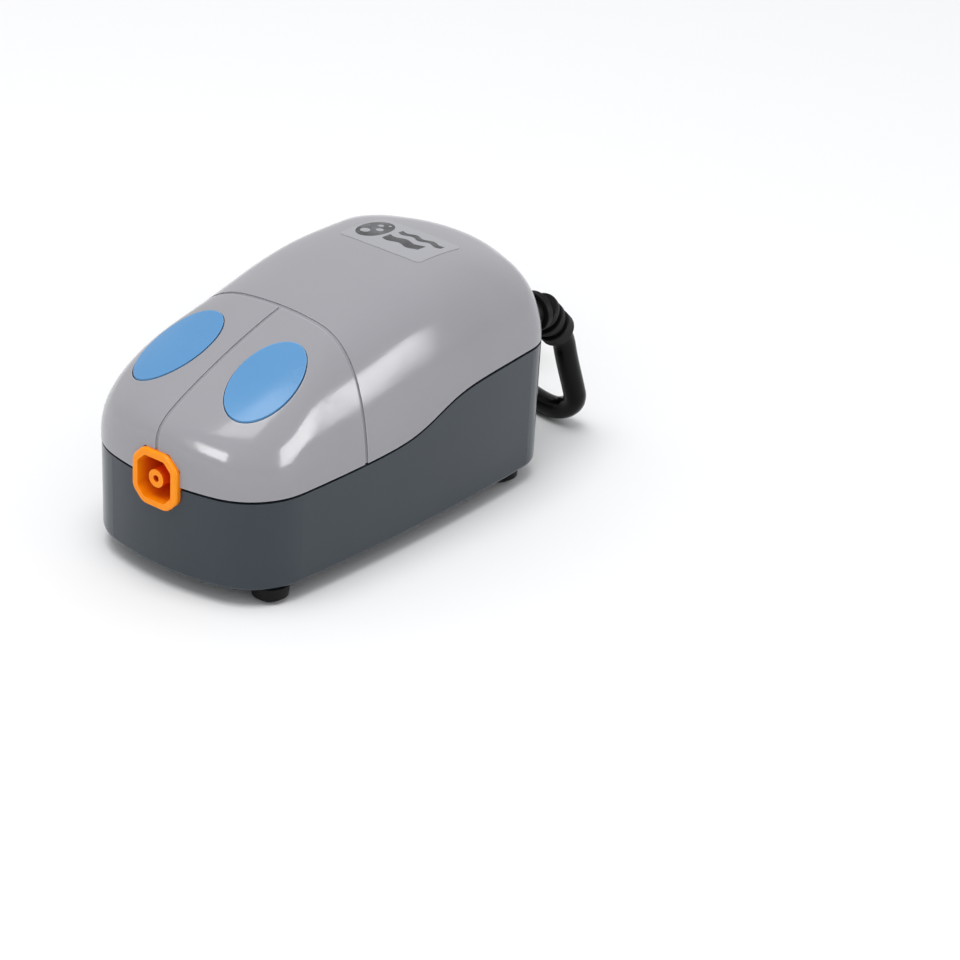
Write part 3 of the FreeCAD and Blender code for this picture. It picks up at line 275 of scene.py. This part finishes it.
def moulded(name, dark, light, rough, grain, shine=0.4, scale=900, edges=0.0, painted_hollow_shade=None):
    """Moulded plastic or rubber: slow colour drift, fine grain, and a painted highlight along convex
    edges, broken up by noise.

    In its hollows a plastic can take a darker colour: painted shade where ambient occlusion finds the
    hollow.
    """
    made = Nodes(name)
    colour = made.blend(made.spread(made.noise(DRIFT_SCALE, 3), 0, 1), dark, light)
    if painted_hollow_shade:
        # painted shade: a darker colour wherever ambient occlusion finds a hollow
        hollow = made.add("ShaderNodeAmbientOcclusion", samples=8, Distance=HOLLOW_REACH)
        colour = made.blend(made.spread(hollow.outputs["AO"], 0, 1, 0.25, 0.75), painted_hollow_shade, colour)
    if edges:
        # painted highlight: a paler colour along convex edges, stronger in some places than others
        pale = tuple(min(1.0, c * 1.4 + 0.02) for c in light)
        edge_highlight_strength = made.spread(made.noise(EDGE_HIGHLIGHT_SCALE, 3), 0.2 * edges, edges)
        colour = made.blend(made.maths("MULTIPLY", made.edge_highlight_mask(), edge_highlight_strength), colour, pale)
    made.set(
        Base_Color=colour,
        Roughness=made.spread(made.noise(GLOSS_SCALE, 5, 0.6), rough * 0.85, rough * 1.2),
        Normal=made.bump(made.noise(scale, 2, 0.5), grain, GRAIN_DEPTH),
        Specular_IOR_Level=shine,
    )
    return made.material


# noise scales per metre of metal: stains, smears and the drawn grain
STAIN_SCALE = 70
SMEAR_SCALE = 240
DRAWN_SCALE = 500


def metal(name, dark, light, rough, ridges=None):
    """Plain metal with slight staining and either a drawn grain or regular ridges."""
    made = Nodes(name)
    if ridges:
        relief = made.bump(made.bands(*ridges), 0.5, 0.0002)
    else:
        relief = made.bump(made.noise(DRAWN_SCALE, 3), 0.12, 0.0001)
    made.set(
        Base_Color=made.blend(made.spread(made.noise(STAIN_SCALE, 4), 0, 1), dark, light),
        Roughness=made.spread(made.noise(SMEAR_SCALE, 4), rough * 0.75, rough * 1.3),
        Normal=relief,
        Metallic=1.0,
    )
    return made.material


# the mark on the label, in millimetres: x, y and half sizes of the oval, x, y and radius of each
# bubble in it, and y, half height, start, end and length of each wave
MARK_OVAL = (-7.8, 27.4, 3.7, 5.6)
MARK_BUBBLES = ((-8.8, 25.0, 1.2), (-6.6, 27.6, 0.9), (-8.2, 29.9, 0.7), (-6.6, 31.3, 0.4))
MARK_WAVES = ((30.4, 0.9, -2.8, 10.0, 5.0), (25.8, 1.5, -3.2, 7.2, 6.0))
WAVE_SWING = 0.45


def printed_label(name, film, ink):
    """A satin film with a plain water mark: bubbles in a dark oval, and two waves beside it."""
    made = Nodes(name)
    across = made.along("X")
    up = made.along("Y")

    def oval(x, y, wide, high):
        one = made.maths("DIVIDE", made.maths("SUBTRACT", across, x), wide)
        two = made.maths("DIVIDE", made.maths("SUBTRACT", up, y), high)
        square = made.maths("ADD", made.maths("MULTIPLY", one, one), made.maths("MULTIPLY", two, two))
        return made.maths("LESS_THAN", square, 1.0)

    def wave(y, half, start, end, length):
        swing = made.maths("SINE", made.maths("MULTIPLY", across, 2 * math.pi / length))
        middle = made.maths("ADD", made.maths("MULTIPLY", swing, WAVE_SWING), y)
        away = made.maths("ABSOLUTE", made.maths("SUBTRACT", up, middle))
        inside = made.maths("LESS_THAN", away, half)
        after = made.maths("GREATER_THAN", across, start)
        before = made.maths("LESS_THAN", across, end)
        return made.maths("MULTIPLY", inside, made.maths("MULTIPLY", after, before))

    mark = oval(*MARK_OVAL)
    for x, y, size in MARK_BUBBLES:
        mark = made.maths("SUBTRACT", mark, oval(x, y, size, size))
    for sizes in MARK_WAVES:
        mark = made.maths("MAXIMUM", mark, wave(*sizes))
    faded = made.maths("MULTIPLY", mark, made.spread(made.noise(300, 4), 0.75, 0.97, 0.35, 0.6))
    made.set(
        Base_Color=made.blend(faded, film, ink),
        Roughness=made.spread(made.noise(120, 4), 0.2, 0.32),
        Normal=made.bump(made.noise(160, 2), 0.08, 0.0002),
        Specular_IOR_Level=0.5,
    )
    return made.material


BLACK_RUBBER = moulded(
    "black_rubber", grey(0.003), grey(0.007), rough=0.5, grain=0.25, shine=0.12, scale=700
)
SLATE = moulded(
    "slate_shell",
    dark=(0.024, 0.034, 0.044),
    light=(0.028, 0.039, 0.05),
    rough=0.17,
    grain=0.03,
    shine=0.38,
    # strength of the painted edge highlight
    edges=0.6,
)
COVER = moulded(
    "grey_shell",
    dark=(0.295, 0.292, 0.312),
    light=(0.31, 0.307, 0.327),
    rough=0.15,
    grain=0.04,
    shine=0.45,
    # strength of the painted edge highlight
    edges=0.8,
)
BLUE = moulded(
    "blue_plastic",
    dark=(0.088, 0.255, 0.49),
    light=(0.108, 0.29, 0.54),
    rough=0.26,
    grain=0.05,
    shine=0.35,
    # strength of the painted edge highlight
    edges=0.7,
)
LABEL = printed_label("label_film", film=(0.335, 0.335, 0.355), ink=(0.015, 0.015, 0.016))
ORANGE = moulded(
    "orange_plastic",
    dark=(0.95, 0.26, 0.002),
    light=(1.0, 0.32, 0.004),
    rough=0.25,
    grain=0.05,
    shine=0.2,
    # painted shade: crimson in the nozzle's recess
    painted_hollow_shade=(0.75, 0.06, 0.006),
)
SHEATH = moulded("cord_sheath", grey(0.001), grey(0.002), rough=0.2, grain=0.08, shine=0.11, scale=500)
PLUG = moulded("plug_plastic", grey(0.005), grey(0.012), rough=0.4, grain=0.3, shine=0.3, scale=1100)
NICKEL = metal("nickel", (0.62, 0.58, 0.5), (0.72, 0.68, 0.6), rough=0.25)
SCREW = metal("zinc_screw", (0.5, 0.5, 0.52), (0.65, 0.65, 0.66), rough=0.35)
STEEL = metal("sheet_steel", grey(0.5), grey(0.62), rough=0.3)
CORE = metal("core_sheets", (0.12, 0.12, 0.13), (0.2, 0.2, 0.21), rough=0.4, ridges=("X", 0.7))
FERRITE = moulded("ferrite", grey(0.03), (0.06, 0.055, 0.055), rough=0.6, grain=0.4)
NYLON = moulded("bobbin_nylon", (0.62, 0.6, 0.52), (0.7, 0.68, 0.6), rough=0.4, grain=0.1)
COPPER = metal("enamelled_copper", (0.5, 0.16, 0.05), (0.7, 0.28, 0.1), rough=0.3, ridges=("Y", 0.5))
CHAMBER = moulded("chamber_abs", grey(0.45), grey(0.55), rough=0.35, grain=0.1)
FELT = moulded("felt", (0.55, 0.54, 0.5), (0.75, 0.74, 0.7), rough=0.9, grain=0.9, shine=0.1, scale=1500)
HOSE = moulded("hose_rubber", grey(0.12), grey(0.2), rough=0.5, grain=0.2)

MATERIALS = {
    "base_housing": SLATE,
    "filter_cover": SLATE,
    "top_cover": COVER,
    "oval_inlay_left": BLUE,
    "oval_inlay_right": BLUE,
    "top_label": LABEL,
    "outlet_nozzle": ORANGE,
    "rubber_feet": BLACK_RUBBER,
    "strain_relief": BLACK_RUBBER,
    "pivot_bushings": BLACK_RUBBER,
    "inlet_flap": BLACK_RUBBER,
    "outlet_flap": BLACK_RUBBER,
    "diaphragm": BLACK_RUBBER,
    "chamber_gasket": BLACK_RUBBER,
    "power_cord": SHEATH,
    "power_cord_tail": SHEATH,
    "power_cord_coil": SHEATH,
    "lead_wires": SHEATH,
    "plug_body": PLUG,
    "plug_pin_sleeves": PLUG,
    "plug_pins": NICKEL,
    "case_screws": SCREW,
    "pivot_pin": SCREW,
    "bracket_screws": SCREW,
    "chamber_screws": SCREW,
    "diaphragm_screw": SCREW,
    "vibrating_arm": STEEL,
    "pivot_bracket": STEEL,
    "laminated_core": CORE,
    "arm_magnets": FERRITE,
    "coil_bobbin": NYLON,
    "core_cradle": NYLON,
    "coil_winding": COPPER,
    "pump_chamber": CHAMBER,
    "chamber_lid": CHAMBER,
    "diaphragm_clamp": CHAMBER,
    "diaphragm_disc": CHAMBER,
    "filter_felt": FELT,
    "outlet_hose": HOSE,
}

# faces that meet at a larger angle than this, in degrees, keep a crisp edge between them
SHARP_ANGLE = 35


def dress(thing, material):
    """Gives a CAD node its material, and smooth shading between its sharp edges."""
    if not thing.material_slots:
        thing.data.materials.append(material)
    for slot in thing.material_slots:
        slot.material = material
    mesh = thing.data
    mesh.polygons.foreach_set("use_smooth", [True] * len(mesh.polygons))
    mesh.set_sharp_from_angle(angle=math.radians(SHARP_ANGLE))


for node, thing in NODES.items():
    dress(thing, MATERIALS[node])
cord.data.materials.append(SHEATH)


# ---------------------------------------------------------------- studio

# lengths in metres, angles in degrees and lamp powers in watts
AIM_HEIGHT = 0.03
FLOOR_SIZE = 12


def area_light(name, azimuth, height, reach, wide, high, power, lights_surfaces=True):
    """A soft box that faces the pump, at a compass angle from +X and an angle above the floor."""
    data = bpy.data.lights.new(name, "AREA")
    data.shape = "RECTANGLE"
    data.size = wide
    data.size_y = high
    data.energy = power
    lamp = bpy.data.objects.new(name, data)
    around = math.radians(azimuth)
    above = math.radians(height)
    level = math.cos(above)
    way = Vector((math.cos(around) * level, math.sin(around) * level, math.sin(above)))
    lamp.location = way * reach + Vector((0, 0, AIM_HEIGHT))
    lamp.rotation_euler = way.to_track_quat("Z", "Y").to_euler()
    lamp.visible_diffuse = lights_surfaces
    bpy.context.scene.collection.objects.link(lamp)


def pale_floor():
    bpy.ops.mesh.primitive_plane_add(size=FLOOR_SIZE)
    floor = bpy.context.object
    floor.name = "floor"
    made = Nodes("pale_floor")
    made.set(Base_Color=(0.86, 0.86, 0.86, 1), Roughness=0.85)
    floor.data.materials.append(made.material)


def pale_surround():
    world = bpy.data.worlds.new("surround")
    bpy.context.scene.world = world
    world.use_nodes = True
    surround = world.node_tree.nodes["Background"]
    surround.inputs["Color"].default_value = (0.97, 0.98, 1, 1)
    surround.inputs["Strength"].default_value = 0.74


# one large light above, and two soft boxes that only the glossy surfaces show
pale_floor()
pale_surround()
area_light("overhead", azimuth=-80, height=78, reach=1.1, wide=0.7, high=0.7, power=7.4)
area_light(
    "right_box", azimuth=14, height=15, reach=1.2, wide=0.84, high=0.46, power=14, lights_surfaces=False
)
area_light(
    "front_box", azimuth=-90, height=23, reach=1.0, wide=0.42, high=0.34, power=5.5, lights_surfaces=False
)
bpy.context.scene.view_settings.view_transform = "Standard"
bpy.context.view_layer.update()
